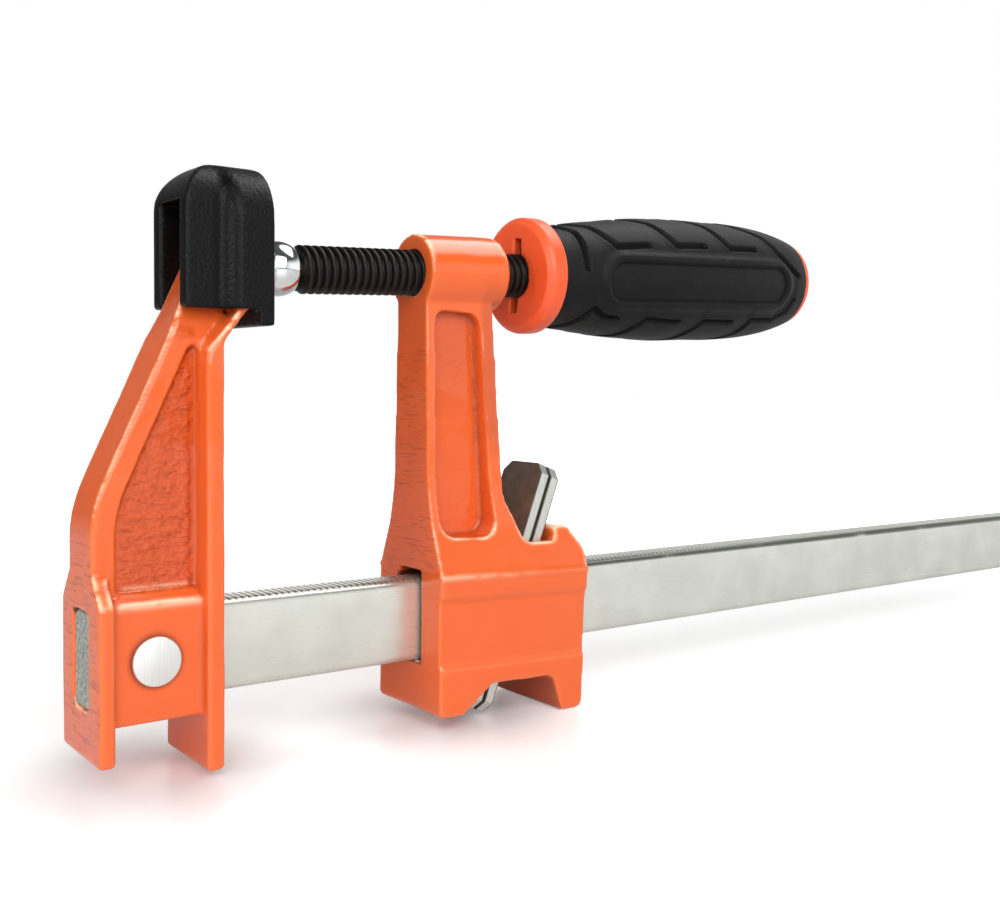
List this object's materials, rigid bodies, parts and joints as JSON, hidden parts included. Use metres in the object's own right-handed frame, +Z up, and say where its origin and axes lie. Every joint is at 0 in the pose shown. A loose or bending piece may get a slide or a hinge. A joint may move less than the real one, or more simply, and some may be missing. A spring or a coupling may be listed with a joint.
{
  "type": "bar clamp",
  "caption": "Steel bar clamp with a fixed head, a sliding head held by clutch plates, a screw with a gripped handle, a swivel foot and a soft jaw cap.",
  "frame": {"origin": "middle of the sole under the fixed head's front plate", "axes": "+X along the bar from the fixed head to its free end, +Y across the clamp, +Z up from the bar to the jaws"},
  "size_m": [0.4134, 0.0336, 0.1308],
  "materials": {
    "bar_steel": "zinc plated, satin",
    "pin_steel": "satin",
    "orange_enamel": "gloss enamel over ribbed iron castings",
    "black_plastic": "fine grain",
    "zinc_plate": "zinc plated",
    "spring_steel": "oiled",
    "black_oxide": "black oxide",
    "chrome_swivel": "polished",
    "orange_plastic": "smooth moulded",
    "grip_rubber": "soft matte, grooved"
  },
  "bodies": {
    "bar_and_fixed_head": {"bar": "bar_steel", "bar_stop_pin": "pin_steel", "fixed_head": "orange_enamel", "bar_rivet": "pin_steel"},
    "jaw_cap": {"jaw_cap": "black_plastic"},
    "sliding_head": {"sliding_head": "orange_enamel", "clutch_spring": "spring_steel"},
    "clutch_plate_1": {"clutch_plate_1": "zinc_plate"},
    "clutch_plate_2": {"clutch_plate_2": "zinc_plate"},
    "ball_end": {"screw_ball_end": "chrome_swivel"},
    "screw_and_handle": {"screw": "black_oxide", "handle_core": "orange_plastic", "handle_grip": "grip_rubber"},
    "swivel": {"swivel": "chrome_swivel"}
  },
  "joints": [
    {"name": "cap_pull", "type": "slide", "parent": "bar_and_fixed_head", "child": "jaw_cap", "axis": [0, 0, 1], "range_m": [0, 0.034]},
    {"name": "head_slide", "type": "slide", "parent": "bar_and_fixed_head", "child": "sliding_head", "axis": [1, 0, 0], "range_m": [0, 0.274]},
    {"name": "clutch_release", "type": "hinge", "parent": "sliding_head", "child": "clutch_plate_1", "pos_m": [0.07063, 0, 0.00884], "axis": [0, 1, 0], "range_deg": [-10, 0], "stiffness_Nm_per_rad": 0.5, "springref_deg": 22.92, "deforming": ["clutch_spring"]},
    {"name": "clutch_release_2", "type": "hinge", "parent": "sliding_head", "child": "clutch_plate_2", "pos_m": [0.07387, 0, 0.00765], "axis": [0, 1, 0], "range_deg": [-10, 0]},
    {"name": "screw_feed", "type": "slide", "parent": "sliding_head", "child": "ball_end", "axis": [0.9991, 0, 0.0419], "range_m": [0, 0.028]},
    {"name": "screw_turn", "type": "hinge", "parent": "ball_end", "child": "screw_and_handle", "pos_m": [0.0195, 0, 0.10673], "axis": [0.9991, 0, 0.0419], "range_deg": [0, 5040]},
    {"name": "swivel_tilt", "type": "hinge", "parent": "ball_end", "child": "swivel", "pos_m": [0.0195, 0, 0.10673], "axis": [0, 1, 0], "range_deg": [-8, 8]}
  ],
  "couplings": [
    {"joint": "clutch_release_2", "follows": "clutch_release", "ratio": 1},
    {"joint": "screw_turn", "follows": "screw_feed", "rad_per_m": 3141.6}
  ]
}
